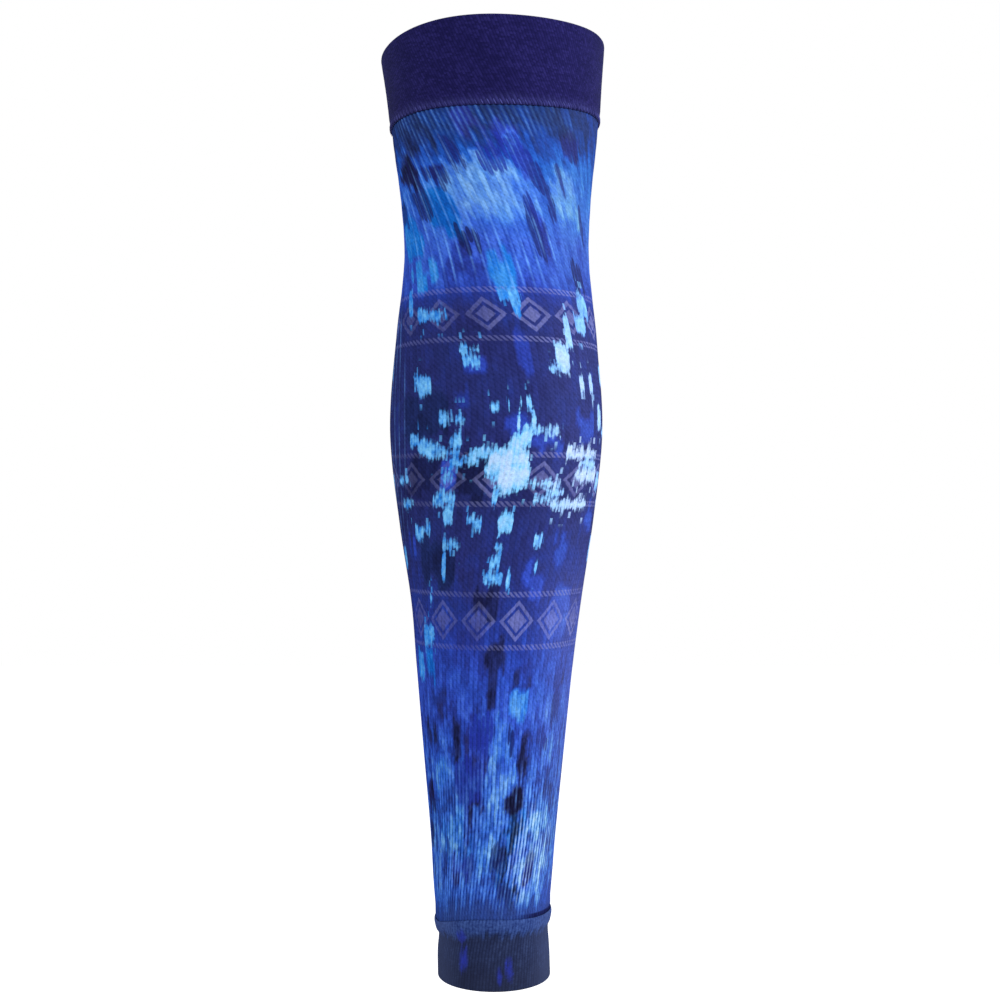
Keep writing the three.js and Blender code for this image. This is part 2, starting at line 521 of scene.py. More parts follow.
SOFT_PATCHES = patches(
    # under the band and above the elbow
    # the dark patches on the left under the band, down to height 54, are partly print and partly painted
    # shade of the left side
    (-34, 86, 12, 8, 0.2, 0.6),
    (-12, 88, 6, 6, 0.31, 0.0),
    (5, 82, 7, 3, 0.35, 0.0),
    (-4, 78, 4, 3, 0.36, 0.0),
    (7, 77, 5, 3, 0.54, 0.4),
    (29, 87, 16, 8, 0.21, 0.8),
    (30, 78, 6, 3, 0.18, 0.3),
    (-36, 70, 9, 5, 0.12, 0.4),
    (-26, 70, 8, 3, 0.2, 0.2),
    (-37, 63, 6, 2, 0.38, 0.6),
    (-38, 54, 6, 6, 0.28, 0.8),
    (-5, 60, 18, 13, 0.63, 0.4),
    (-1, 62, 12, 10, 0.68, 0.35),
    (28, 58, 8, 11, 0.66, 0.4),
    (13, 57, 6, 9, 0.6, 0.4),
    (12, 68, 3, 5, 0.5, 0.1),
    (-22, 52, 8, 10, 0.46, 1.0),
    (-34, 42, 9, 8, 0.54, 1.0),
    (-30, 28, 9, 4, 0.61, 1.0),
    (-13, 32, 8, 5, 0.34, 0.1),
    (2, 28, 6, 8, 0.58, 0.9),
    (21, 32, 12, 8, 0.43, 0.1),
    (18, 44, 3, 6, 0.32, 0.0),
    # round the elbow
    (-8, -13, 5, 3, 0.37, 0.0),
    (11, -6, 3, 7, 0.33, 0.0),
    (-13, -26, 3, 5, 0.29, 0.1),
    (-29, -31, 12, 9, 0.14, 0.4),
    (8, -36, 5, 5, 0.37, 0.0),
    (37, -34, 7, 4, 0.38, 0.0),
    (21, -43, 7, 4, 0.38, 0.0),
    (-29, -53, 10, 9, 0.13, 0.2),
    (-9, -56, 7, 8, 0.09, 0.2),
    (-19, -53, 4, 5, 0.4, 0.0),
    (38, -74, 5, 6, 0.4, 0.0),
    (-34, -85, 3, 3, 0.38, 0.0),
    (26, -85, 4, 4, 0.37, 0.0),
    (-24, -91, 9, 9, 0.14, 0.4),
    (15, -99, 5, 6, 0.38, 0.0),
    # down the forearm
    (-4, -106, 5, 6, 0.13, 0.2),
    (26, -112, 7, 8, 0.42, 0.0),
    (0, -130, 4, 8, 0.13, 0.2),
    (-1, -143, 2, 5, 0.17, 0.2),
    (-26, -134, 3, 6, 0.52, 1.0),
    (27, -137, 4, 5, 0.24, 0.2),
    (11, -142, 4, 3, 0.2, 0.2),
    (10, -150, 4, 5, 0.62, 0.7),
    (-22, -150, 5, 4, 0.3, 0.2),
    (22, -156, 3, 6, 0.5, 0.1),
    (-15, -164, 2, 7, 0.19, 0.2),
    (-7, -168, 5, 11, 0.31, 0.0),
    (4, -164, 4, 8, 0.54, 0.4),
    (-25, -166, 4, 6, 0.27, 0.3),
    (12, -172, 2, 12, 0.2, 0.2),
    (-21, -180, 4, 7, 0.52, 0.5),
    (22, -173, 3, 7, 0.54, 0.3),
    # towards the wrist
    (3, -185, 6, 11, 0.6, 0.4),
    (-8, -192, 4, 4, 0.23, 0.0),
    (8, -191, 4, 4, 0.1, 0.2),
    (-25, -191, 3, 4, 0.18, 0.1),
    (-15, -206, 8, 9, 0.56, 0.6),
    (-10, -202, 2, 6, 0.34, 0.2),
    (19, -200, 6, 7, 0.68, 0.5),
    (8, -203, 5, 6, 0.3, 1.0),
    (-2, -208, 4, 10, 0.58, 0.5),
    (15, -222, 8, 12, 0.66, 0.4),
    (3, -216, 3, 7, 0.26, 0.8),
    (14, -219, 2, 6, 0.26, 0.1),
    (-14, -217, 3, 4, 0.28, 0.1),
    (-22, -214, 4, 6, 0.47, 0.4),
    (7, -230, 4, 4, 0.27, 0.8),
)
LIGHT_FLECKS = patches(
    # above the elbow
    (-35, 16, 2, 4, 0.1),
    (-31, 11, 2, 3, 0.15),
    (-25, 10, 7, 2, 0.15),
    (5, 18, 5, 2, 0.1),
    (8, 12, 2, 2, 0.1),
    (35, 16, 4, 5, 0.25),
    (34, 8, 4, 4, 0.3),
    (29, 4, 2, 7, 0.5),
    (27, -7, 4, 6, 0.75),
    (23, -12, 3, 1, 0.5),
    (-10, -4, 5, 1, 0.35),
    (-10, -9, 4, 2, 0.35),
    (-33, -15, 2, 1, 0.25),
    (-29, -18, 4, 4, 0.3),
    (35, -17, 2, 3, 0.7),
    (39, -17, 2, 3, 0.7),
    # left of the burst
    (-20, -33, 3, 2, 0.35),
    (-14, -32, 3, 1, 0.3),
    (-33, -41, 3, 2, 0.3),
    (-29, -44, 3, 2, 0.3),
    (-25, -45, 4, 3, 0.35),
    (-21, -46, 4, 2, 0.4),
    (-16, -42, 3, 3, 0.35),
    (-16, -47, 2, 2, 0.3),
    (-14, -50, 3, 1, 0.4),
    (-10, -49, 4, 2, 0.5),
    (-6, -47, 3, 2, 0.55),
    (-18, -51, 1, 4, 0.1),
    (-38, -57, 5, 2, 0.45),
    (-19, -56, 3, 1, 0.3),
    (-36, -67, 5, 2, 0.4),
    (-21, -65, 6, 2, 0.35),
    (-19, -71, 2, 4, 0.35),
    # the burst
    (-2, -28, 1, 1, 0.5),
    (1, -28, 1, 1, 0.5),
    (5, -27, 1, 1, 0.5),
    (10, -26, 1, 3, 0.65),
    (13, -26, 1, 2, 0.6),
    (9, -34, 1, 3, 0.6),
    (15, -33, 1, 4, 0.65),
    (12, -40, 2, 4, 0.7),
    (8, -43, 2, 3, 0.8),
    (-2, -46, 4, 2, 0.65),
    (5, -49, 8, 5, 0.95),
    (-1, -53, 3, 3, 0.7),
    (7, -56, 6, 6, 0.95),
    (0, -64, 1, 3, 0.4),
    (4, -74, 3, 4, 0.6),
    # right of the burst
    (43, -30, 3, 5, 0.6),
    (19, -37, 7, 1, 0.75),
    (26, -39, 1, 1, 0.6),
    (36, -46, 12, 2, 1.0),
    (38, -50, 7, 2, 0.55),
    (37, -55, 9, 2, 0.95),
    (19, -59, 8, 1, 0.85),
    (24, -62, 4, 1, 0.6),
    (18, -65, 4, 1, 0.75),
    (30, -67, 11, 2, 0.9),
    # below the elbow
    (-31, -79, 3, 2, 0.3),
    (-28, -77, 2, 2, 0.3),
    (-10, -73, 2, 2, 0.35),
    (-7, -76, 2, 2, 0.35),
    (-18, -84, 4, 2, 0.3),
    (-21, -93, 1, 6, 0.25),
    (0, -85, 1, 1, 0.4),
    (2, -85, 1, 1, 0.4),
    (-2, -92, 1, 3, 0.3),
    (1, -90, 1, 4, 0.3),
    (-1, -97, 4, 2, 0.3),
    (5, -98, 1, 3, 0.3),
    (17, -82, 2, 2, 0.5),
    (16, -93, 1, 2, 0.4),
    (-26, -106, 1, 2, 0.15),
    (-27, -122, 4, 4, 0.05),
    (-30, -136, 3, 6, 0.05),
)
SIDE_FLECKS = patches(  # as seen from either side
    (-6, -12, 3, 4, 0.4),
    (7, -19, 2, 3, 0.3),
    (-4, -36, 5, 2, 0.45),
    (4, -41, 3, 2, 0.35),
    (-9, -57, 4, 2, 0.4),
    (2, -66, 6, 2, 0.35),
    (5, -73, 2, 4, 0.3),
    (-5, -86, 2, 5, 0.25),
    (-3, -90, 4, 2, 0.25),
    (9, -99, 2, 4, 0.2),
)
DARK_FLECKS = patches(  # the tone here goes from navy black at 0 to royal blue at 1
    (-35, 70, 6, 4, 0.1),
    (-25, 68, 7, 3, 0.3),
    (-30, 57, 5, 6, 0.2),
    (-11, 41, 5, 5, 0.1),
    (-17, 75, 4, 5, 0.4),
    (-2, 72, 5, 4, 0.9),
    (6, 77, 5, 4, 1.0),
    (11, 73, 3, 5, 0.8),
    (15, 68, 3, 6, 0.5),
    (19, 61, 2.5, 6, 0.4),
    (22, 54, 2, 5, 0.4),
    (13, 54, 2, 5, 0.6),
    (25, 68, 2, 5, 0.5),
    (30, 78, 5, 3, 0.3),
    (16, 43, 3, 8, 0.3),
    (35, 48, 2, 6, 0.4),
    (33, 28, 4, 6, 0.2),
    (25, -151, 2.5, 5, 0.4),
    (-5, -162, 5, 7, 0.9),
    (7, -162, 1.5, 4, 0.2),
    (20, -167, 2, 5, 0.5),
    (-10, -182, 6, 8, 0.9),
    (-25, -191, 3, 4, 0.1),
    (-25, -204, 3, 4, 0.1),
    (7, -190, 3, 3, 0.0),
    (-19, -213, 1.5, 4, 0.5),
    (-10, -216, 2.5, 5, 0.8),
    (2, -215, 3, 6, 0.2),
    (15, -215, 2.5, 4, 0.4),
    (5, -229, 3, 3, 0.3),
)
LIGHT_LINES = patches(  # where the ribs catch the light; the tone here is how strongly
    (-12, 52, 34, 30, 0.75),
    (-10, 88, 45, 10, 0.5),
    (-41, -5, 8, 28, 0.65),
    (-40, -45, 9, 40, 0.6),
    (0, -208, 30, 34, 0.6),
    (16, -212, 11, 26, 0.95),
)
SEED = 11
TOOTH_WIDTHS = (2, 2, 4)  # in columns, so that some teeth of a soft patch are two wales wide
SQUARENESS = 3  # of a patch, where 2 is an ellipse
EDGE_SHARE = 0.99  # of the half width, beyond which no patch has its middle
FAR_OUTSIDE = -9 * MM  # the depth of stitches that no patch reaches
PATCH_FRAY = 4.5  # in millimetres
PATCH_EDGE = 1.2 * MM
LINE_FRAY = 6  # in millimetres
LINE_EDGE = (-6 * MM, 10 * MM)
TEETH = 168  # round the arm, in the flecks
DASH_PITCH = 2.6 * MM  # of the short dashes above and below them
LOZENGE_PITCH = 8  # in wales
LOZENGE_HALF = 3.6  # half width, in wales
LOZENGE_OUTLINE = 2 * MM
LOZENGE_HEART = (3.4 * MM, 4 * MM)  # how deep inside the lozenge its heart starts
CORD_HALF = 1.1 * MM
CORD_TWIST = 2.2 * MM
BORDER_EDGE = 0.3 * MM
LOZENGES = ((10, 7.0), (-57, 7.5), (-115, 8.5))  # height of each row, and half height of a lozenge in it
CORDS = (20, 0, -47, -67, -104, -126)  # heights of the twisted lilac lines beside them
BACK_LIFT = 9  # the back repeats the front this much higher
FRONT_AND_BACK = ((FRONT, 0), (-FRONT, BACK_LIFT))
BOTH_SIDES = ((0, 0), (math.pi, BACK_LIFT))


class Fields(NamedTuple):
    """What the chart says of each stitch."""

    tone: object  # both as in Patch
    azure: object
    streaks: object  # how much the wales differ
    light: object  # depth inside the light flecks
    pale: object  # and their tone
    dark: object  # depth inside the dark flecks
    royal: object  # and their tone
    lines: object  # how strongly the ribs catch the light


class Chart:
    """The print as a chart of the knit, with a column for each crest and groove and a row for each course
    that is modelled. Soft patches fray at their ends, each wale stopping a little higher or lower than the
    next."""

    def __init__(self, rows):
        self.rows = rows
        arm = arm_at(rows)
        self.radius = (arm.half_x + arm.half_y)[:, None] / 2
        self.angles = TURN * np.arange(COLUMNS) / COLUMNS
        self.random = np.random.default_rng(SEED)
        widths = self.random.choice(TOOTH_WIDTHS, FINE_RIBS)
        self.tooth = np.repeat(np.arange(FINE_RIBS), widths)[:COLUMNS]

    def inside(self, patch, fray=0.0, sides=FRONT_AND_BACK):
        """How far each stitch lies inside a patch or its repeat on the other side, negative outside."""
        depth = self.blank(FAR_OUTSIDE)
        for side, lift in sides:
            height = (patch.height + lift) * MM
            there = arm_at(height)
            share = float(np.clip(patch.across * MM / there.half_x, -EDGE_SHARE, EDGE_SHARE))
            at = side + math.asin(share) - math.radians(float(there.turn_deg))
            apart = (self.angles - at + math.pi) % TURN - math.pi
            beside = np.abs(apart * self.radius / (patch.wide * MM))
            room = np.clip(1 - beside**SQUARENESS, 0, 1) ** (1 / SQUARENESS) * patch.tall * MM
            top, foot = self.random.uniform(-fray * MM, fray * MM, (2, FINE_RIBS))[:, self.tooth]
            above = self.rows[:, None] - height
            here = np.minimum(room + top - above, room + foot + above)
            depth = np.maximum(depth, np.where(beside < 1, here, FAR_OUTSIDE))
        return depth

    def blank(self, value):
        return np.full((len(self.rows), COLUMNS), float(value))

    def flecks(self, front, side=()):
        """How far each stitch lies inside the nearest fleck, and that fleck's tone."""
        depth, tone = self.blank(FAR_OUTSIDE), self.blank(0)
        for table, sides in ((front, FRONT_AND_BACK), (side, BOTH_SIDES)):
            for patch in table:
                here = self.inside(patch, sides=sides)
                tone = np.where(here > depth, patch.tone, tone)
                depth = np.maximum(depth, here)
        return depth, tone

    def fields(self):
        heights, *looks = np.array(GROUND).T
        tone, azure, streaks = (
            self.blank(0) + np.interp(self.rows / MM, heights, look)[:, None] for look in looks
        )
        for patch in SOFT_PATCHES:
            share = smooth(-PATCH_EDGE, PATCH_EDGE, self.inside(patch, PATCH_FRAY))
            tone += share * (patch.tone - tone)
            azure += share * (patch.azure - azure)
        light, pale = self.flecks(LIGHT_FLECKS, SIDE_FLECKS)
        dark, royal = self.flecks(DARK_FLECKS)
        lines = self.blank(0)
        for patch in LIGHT_LINES:
            share = smooth(*LINE_EDGE, self.inside(patch, LINE_FRAY))
            lines = np.maximum(lines, patch.tone * share)
        return Fields(tone, azure, streaks, light, pale, dark, royal, lines)


def paint_print(body, rows):
    """Gives every stitch of the tube its place on the chart, as fields that the finish reads."""
    around, height = read_wales(body)
    column = np.round(around * COLUMNS).astype(int) % COLUMNS
    row = np.searchsorted((rows[1:] + rows[:-1]) / 2, height)
    for name, values in Chart(rows).fields()._asdict().items():
        layer = body.data.attributes.new(name, "FLOAT", "CORNER")
        layer.data.foreach_set("value", values[row, column].astype(np.float32))


# Finishes


class Value:
    """A number that changes over a surface. Python arithmetic on it adds Math nodes."""

    def __init__(self, finish, socket):
        self.finish = finish
        self.socket = socket

    def work(self, operation, *others):
        inputs = dict(enumerate((self, *others)))
        return self.finish.value("Math", {"operation": operation}, inputs, "Value")

    __add__ = __radd__ = partialmethod(work, "ADD")
    __sub__ = partialmethod(work, "SUBTRACT")
    __mul__ = __rmul__ = partialmethod(work, "MULTIPLY")
    __truediv__ = partialmethod(work, "DIVIDE")
    __mod__ = partialmethod(work, "FLOORED_MODULO")
    __abs__ = partialmethod(work, "ABSOLUTE")
    __floor__ = partialmethod(work, "FLOOR")
    sine = partialmethod(work, "SINE")
    least = partialmethod(work, "MINIMUM")
    most = partialmethod(work, "MAXIMUM")

    def __rsub__(self, other):
        return (self * -1) + other

    def nearest(self):
        """The nearest whole number."""
        return math.floor(self + 0.5)

    def sway(self, amount):
        """For a value from 0 to 1, from half the amount down to half the amount up."""
        return (self - 0.5) * amount

    def step(self, low, high):
        """0 at low and 1 at high, smooth between and level beyond."""
        settings = {"interpolation_type": "SMOOTHSTEP"}
        inputs = {"Value": self, "From Min": low, "From Max": high}
        return self.finish.value("MapRange", settings, inputs, "Result")


def colour_of(red, green, blue):
    """A colour from its screen values, 0 to 255, by the sRGB curve."""
    shares = [screen / 255 for screen in (red, green, blue)]
    linear = [s / 12.92 if s <= 0.04045 else ((s + 0.055) / 1.055) ** 2.4 for s in shares]
    return (*linear, 1.0)


WHITE = (1.0, 1.0, 1.0, 1.0)
SHEEN_TINT = colour_of(190, 205, 255)
SHEEN_ROUGHNESS = 0.45
KNIT_SPECULAR = 0.03
RELIEF_DEPTH = 0.5 * MM
MIX_FIRST, MIX_SECOND, MIX_RESULT = 6, 7, 2  # the colour sockets of a Mix node


class Finish:
    """The nodes of a material or of the world."""

    def __init__(self, owner):
        self.owner = owner
        owner.use_nodes = True
        self.tree = owner.node_tree
        self.tree.nodes.clear()

    def node(self, kind, settings=None, inputs=None):
        node = self.tree.nodes.new("ShaderNode" + kind)
        for key, value in (settings or {}).items():
            setattr(node, key, value)
        for key, value in (inputs or {}).items():
            if isinstance(value, Value):
                value = value.socket
            if isinstance(value, bpy.types.NodeSocket):
                self.tree.links.new(value, node.inputs[key])
            else:
                node.inputs[key].default_value = value
        return node

    def value(self, kind, settings, inputs, output):
        return Value(self, self.node(kind, settings, inputs).outputs[output])

    def place(self):
        return self.node("TexCoord").outputs["Object"]

    def split(self, vector):
        node = self.node("SeparateXYZ", None, {"Vector": vector})
        return [Value(self, node.outputs[axis]) for axis in "XYZ"]

    def join(self, x=0.0, y=0.0, z=0.0):
        return self.node("CombineXYZ", None, {"X": x, "Y": y, "Z": z}).outputs["Vector"]

    def noise(self, vector, scale=1.0, detail=2.0):
        inputs = {"Vector": vector, "Scale": scale, "Detail": detail}
        return self.value("TexNoise", None, inputs, "Fac")

    def streaks(self, column, height, spread, scale):
        """Noise drawn out along the columns of the knit, with no likeness between two of them."""
        return self.noise(self.join(column * spread, height * scale), detail=1)

    def speck(self, column, height, pitch):
        """A random number for each column and each course of that pitch."""
        vector = self.join(column, math.floor(height / pitch))
        return self.value("TexWhiteNoise", None, {"Vector": vector}, "Value")

    def mix(self, share, first, second, blend="MIX"):
        settings = {"data_type": "RGBA", "blend_type": blend}
        inputs = {"Factor": share, MIX_FIRST: first, MIX_SECOND: second}
        return self.node("Mix", settings, inputs).outputs[MIX_RESULT]

    def ramp(self, value, stops):
        node = self.node("ValToRGB", None, {"Fac": value})
        elements = node.color_ramp.elements
        while len(elements) < len(stops):
            elements.new(1.0)
        for element, (place, colour) in zip(elements, stops):
            element.position = place
            element.color = colour
        return node.outputs["Color"]

    def for_camera(self, seen, otherwise):
        """One shader for what the camera sees, and another for the light that falls on the sleeve."""
        inputs = {0: self.node("LightPath").outputs["Is Camera Ray"], 1: otherwise, 2: seen}
        return self.node("MixShader", None, inputs).outputs["Shader"]

    def knit(self, colour, roughness, height, sheen, bump=0.5):
        """Closes the material as a matt knit with the given colour and relief."""
        hollows = {"Strength": bump, "Distance": RELIEF_DEPTH, "Height": height}
        looks = {
            "Base Color": colour,
            "Roughness": roughness,
            "Normal": self.node("Bump", None, hollows).outputs["Normal"],
            "Specular IOR Level": KNIT_SPECULAR,
            "Sheen Weight": sheen,
            "Sheen Roughness": SHEEN_ROUGHNESS,
            "Sheen Tint": SHEEN_TINT,
        }
        shader = self.node("BsdfPrincipled", None, looks)
        self.node("OutputMaterial", None, {"Surface": shader.outputs["BSDF"]})
        return self.owner


LOOP_SLANT = 5.0  # how much the stitches rise towards the grooves
WALE_SPREAD = 7.31  # steps through the noise from one wale, strand or stroke to the next
STRAND_SPREAD = 3.17
STROKE_SPREAD = 5.3


class Knit(NamedTuple):
    """Where on the knit a place is."""

    around: Value  # 0 to 1 round the arm
    height: Value
    wale: Value  # the number of the nearest fine rib
    beside: Value  # 0 on its crest, 0.5 in the groove
    stitch: Value  # relief of the stitches, 0 to 1


def read_knit(finish, wales=FINE_RIBS, pitch=COURSE_PITCH):
    uv = finish.node("UVMap", {"uv_map": WALE_MAP}).outputs["UV"]
    around, height, _ = finish.split(uv)
    at = around * wales
    wale = at.nearest()
    beside = abs(at - wale)
    stitch = (height * (TURN / pitch) + beside * LOOP_SLANT).sine() * 0.5 + 0.5
    return Knit(around, height, wale, beside, stitch)


def slanting(knit, height, pitch):
    """Slanting lines, one for each wale and a pitch apart, from -1 to 1."""
    return (knit.around * (TURN * FINE_RIBS) + height * (TURN / pitch)).sine()


ROYAL_TONES = (
    (0.00, colour_of(18, 18, 46)),
    (0.10, colour_of(26, 28, 70)),
    (0.20, colour_of(40, 46, 108)),
    (0.32, colour_of(40, 56, 146)),
    (0.42, colour_of(50, 76, 186)),
    (0.55, colour_of(72, 106, 214)),
    (0.68, colour_of(102, 140, 214)),
    (0.80, colour_of(138, 176, 230)),
    (1.00, colour_of(206, 228, 250)),
)
AZURE_TONES = (
    (0.00, colour_of(16, 22, 46)),
    (0.10, colour_of(20, 36, 72)),
    (0.20, colour_of(24, 50, 100)),
    (0.32, colour_of(22, 66, 144)),
    (0.42, colour_of(14, 88, 180)),
    (0.55, colour_of(24, 112, 206)),
    (0.68, colour_of(66, 146, 222)),
    (0.80, colour_of(112, 184, 240)),
    (1.00, colour_of(204, 230, 250)),
)
FLECK_TONES = (
    (0.0, colour_of(42, 126, 218)),
    (0.35, colour_of(114, 188, 240)),
    (0.8, colour_of(158, 200, 240)),
    (1.0, colour_of(178, 206, 242)),
)
LILAC = colour_of(132, 136, 196)
NAVY_BLACK = colour_of(25, 27, 64)
ROYAL_INK = colour_of(34, 50, 156)
# painted haze of light over the pale flecks on the right
HAZED_FLECK = colour_of(186, 196, 232)
RIB_GLEAM = colour_of(112, 170, 246)
PALE_GLEAM = colour_of(176, 208, 242)
# painted haze of light, mixed over the print on the right side
PAINTED_HAZE = colour_of(128, 132, 188)
HAZE_TINT = (0.98, 0.98, 0.8, 1.0)  # the colour is multiplied by this, as painted haze of light that takes blue out of the ground on the right
HEM_SLATE = colour_of(44, 64, 124)
# painted shade, for the crease above the roll
CREASE_SHADE = colour_of(20, 22, 66)
HAZE_SPAN = (8 * MM, 36 * MM)  # right of the middle, where a whitish haze of light is painted over the print


class Dye(NamedTuple):
    """How the dye takes: along each wale, along each half of it, in soft clouds and in small spots."""

    streak: Value
    fine_streak: Value
    cloud: Value
    mottle: Value


class Comb(NamedTuple):
    """The teeth in which the flecks end. They run along the wales."""

    tooth: Value  # the number of the tooth
    between: Value  # 1 between two teeth
    fray: Value  # how far the tooth reaches out


def read_dye(finish, knit, place):
    strand = (knit.around * COLUMNS).nearest()
    return Dye(
        streak=finish.streaks(knit.wale, knit.height, WALE_SPREAD, 70),
        fine_streak=finish.streaks(strand, knit.height, STRAND_SPREAD, 300),
        cloud=finish.noise(place, 60, 3),
        mottle=finish.noise(place, 500, 2),
    )


def read_comb(finish, knit, dye):
    teeth = knit.around * TEETH
    tooth = math.floor(teeth)
    between = abs(teeth - tooth - 0.5).step(0.2, 0.45)
    length = finish.streaks(tooth, knit.height, STRAND_SPREAD, 60)
    fray = length.sway(7 * MM) + dye.cloud.sway(5 * MM) + dye.fine_streak.sway(3 * MM)
    return Comb(tooth, between, fray + dye.mottle.sway(4 * MM))


def printed_knit():
    finish = Finish(bpy.data.materials.new("printed_knit"))
    knit = read_knit(finish)
    chart = Fields(
        *(finish.value("Attribute", {"attribute_name": name}, None, "Fac") for name in Fields._fields)
    )
    place = finish.place()
    x, _, _ = finish.split(place)
    dye = read_dye(finish, knit, place)
    comb = read_comb(finish, knit, dye)

    # colours run along the wales, so each wale has its own streaks
    level = chart.tone + dye.streak.step(0.3, 0.7).sway(chart.streaks) * 0.45
    level = level + dye.fine_streak.sway(chart.streaks) * 0.8 + dye.cloud.sway(0.14)
    hue = chart.azure + dye.cloud.sway(0.5)
    colour = finish.mix(hue, finish.ramp(level, ROYAL_TONES), finish.ramp(level, AZURE_TONES))

    # the borders are worn thin in places, and fainter on the left
    lilac = borders(knit, comb.fray) * (dye.cloud * 0.8 - 0.06)
    lilac = lilac * (0.55 + x.step(-25 * MM, 15 * MM) * 0.45)
    colour = finish.mix(lilac, colour, LILAC)

    blot = dark_strokes(finish, knit, chart, dye)
    colour = finish.mix(blot * 0.85, colour, finish.mix(chart.royal, NAVY_BLACK, ROYAL_INK))
    fleck, fleck_colour = light_flecks(finish, knit, chart, dye, comb, x)
    colour = finish.mix(fleck, colour, fleck_colour)
    gleam = finish.mix(chart.lines.step(0.85, 1.0), RIB_GLEAM, PALE_GLEAM)
    colour = finish.mix(rib_lines(knit, chart, dye, level, blot), colour, gleam)
    # painted haze of light on the right and painted shade in the crease above the roll, with the slate hem
    colour = tint_edges(finish, knit, chart, dye, x, colour)

    # painted shade in the grooves, and the random tone of single stitches
    ribbed = 0.15 + chart.streaks * (2.6 - knit.height.step(0.0, 30 * MM) * 1.6)
    groove = knit.beside.step(0.28, 0.5) * (1 - fleck * 0.75) * ribbed
    grain = finish.speck(knit.wale, knit.height, COURSE_PITCH)
    fuzz = finish.noise(place, 1300, 1)
    twill = slanting(knit, knit.height, TWILL_PITCH)
    shade = 1.04 - groove * 0.28 + grain.sway(0.12) + dye.mottle.sway(0.4) + fuzz.sway(0.5)
    shade = shade + twill * (0.1 - chart.streaks * 0.12) * (1 - fleck * 0.6)
    colour = finish.mix(1.0, colour, finish.join(shade, shade, shade), "MULTIPLY")
    relief = knit.stitch * 0.1 + (0.5 - knit.beside) * (0.4 + chart.streaks * 1.4)
    return finish.knit(colour, 0.9 - groove * 0.06, relief, sheen=0.006)


def borders(knit, fray):
    """Where the lilac borders are: rows of lozenges, each an outline with a filled heart, and twisted
    lines."""
    across = abs((knit.around * FINE_RIBS) % LOZENGE_PITCH - LOZENGE_PITCH / 2)
    share = 0
    for height, tall in LOZENGES:
        depth = (1 - across / LOZENGE_HALF) * (tall * MM) - abs(knit.height - height * MM)
        depth = depth + fray * 0.08
        outline = depth.step(-BORDER_EDGE, BORDER_EDGE)
        outline = outline * (LOZENGE_OUTLINE - depth).step(-BORDER_EDGE, BORDER_EDGE)
        share = outline.most(depth.step(*LOZENGE_HEART)).most(share)
    for height in CORDS:
        above = knit.height - height * MM
        twist = slanting(knit, above, CORD_TWIST)
        cord = (CORD_HALF - abs(above) + fray * 0.04).step(-BORDER_EDGE, BORDER_EDGE)
        share = (cord * twist.step(-0.9, 0.6)).most(share)
    return share


def dark_strokes(finish, knit, chart, dye):
    """Where the dark flecks are: short strokes along the wales, fainter between two wales."""
    length = finish.streaks(knit.wale, knit.height, STROKE_SPREAD, 60)
    depth = chart.dark + length.sway(20 * MM) + dye.cloud.sway(6 * MM) + dye.mottle.sway(2 * MM)
    depth = depth - knit.beside.step(0.2, 0.46) * (2 * MM) + 1.4 * MM
    gap = knit.beside.step(0.28, 0.48) * (0.3 + chart.royal * 0.4)
    return depth.step(-1.0 * MM, 1.0 * MM) * (1 - gap)


def light_flecks(finish, knit, chart, dye, comb, x):
    """Where the light flecks are, with loose dashes beside them, and their colour, palest in the middle."""
    depth = chart.light + comb.fray - comb.between * (1.0 * MM) + 0.6 * MM
    dash = finish.speck(comb.tooth, knit.height, DASH_PITCH).step(0.9, 0.92)
    dash = dash * (1 - comb.between) * chart.light.step(-8 * MM, -4 * MM)
    share = depth.step(-1.2 * MM, 1.1 * MM).most(dash * 0.7)
    core = depth.step(0.0, 4 * MM)
    paleness = chart.pale * (0.45 + core * 0.5) + dye.streak.sway(0.5) + dye.fine_streak.sway(0.6)
    # painted haze of light: on the right the pale flecks are mixed towards a whitish lilac
    fleck_haze = x.step(*HAZE_SPAN) * chart.pale * 0.6
    return share, finish.mix(fleck_haze, finish.ramp(paleness, FLECK_TONES), HAZED_FLECK)


def rib_lines(knit, chart, dye, level, blot):
    """How the ribs catch the light, every one of them near the two ends and every second one between."""
    under_band = knit.height.step(74 * MM, 88 * MM)
    ends = under_band.most((-150 * MM - knit.height).step(0.0, 30 * MM))
    ribs = (1 - knit.wale % 2).most(ends)
    patchy = (0.3 + dye.streak.step(0.35, 0.65)).most(under_band * 0.65)
    line = (0.3 - knit.beside).step(0.0, 0.22) * ribs * chart.lines * patchy * level.step(-0.1, 0.4)
    line = (line * (0.5 + dye.fine_streak)).least(1.0)
    return line * (0.25 + chart.lines * 0.35) * (1 - blot * 0.35)


def tint_edges(finish, knit, chart, dye, x, colour):
    """The print pales on the right under a painted haze of light, turns slate at the roll, and has painted
    shade in a crease beside it.
    """
    # painted haze of light: right of the middle the print is mixed towards pale lilac, more so below the
    # elbow
    side_haze = x.step(*HAZE_SPAN) * (0.05 + (-80 * MM - knit.height).step(0.0, 40 * MM) * 0.13)
    colour = finish.mix(side_haze, colour, PAINTED_HAZE)
    # painted haze of light: on the right the ground of middle tone loses some of its blue
    ground_haze = x.step(6 * MM, 34 * MM) * chart.tone.step(0.2, 0.5)
    colour = finish.mix(ground_haze, colour, HAZE_TINT, "MULTIPLY")
    above = knit.height - CUFF_SEAM
    slate = (above + dye.streak.sway(9 * MM)).step(13 * MM, 1 * MM)
    slate = slate * (0.75 - x.step(6 * MM, 20 * MM) * 0.3)
    colour = finish.mix(slate, colour, HEM_SLATE)
    # painted shade in the crease above the roll, on the right side
    crease_shade = above.step(2.2 * MM, 1.2 * MM) * x.step(6 * MM, 17 * MM)
    return finish.mix(crease_shade * (0.5 + dye.fine_streak * 0.8), colour, CREASE_SHADE)


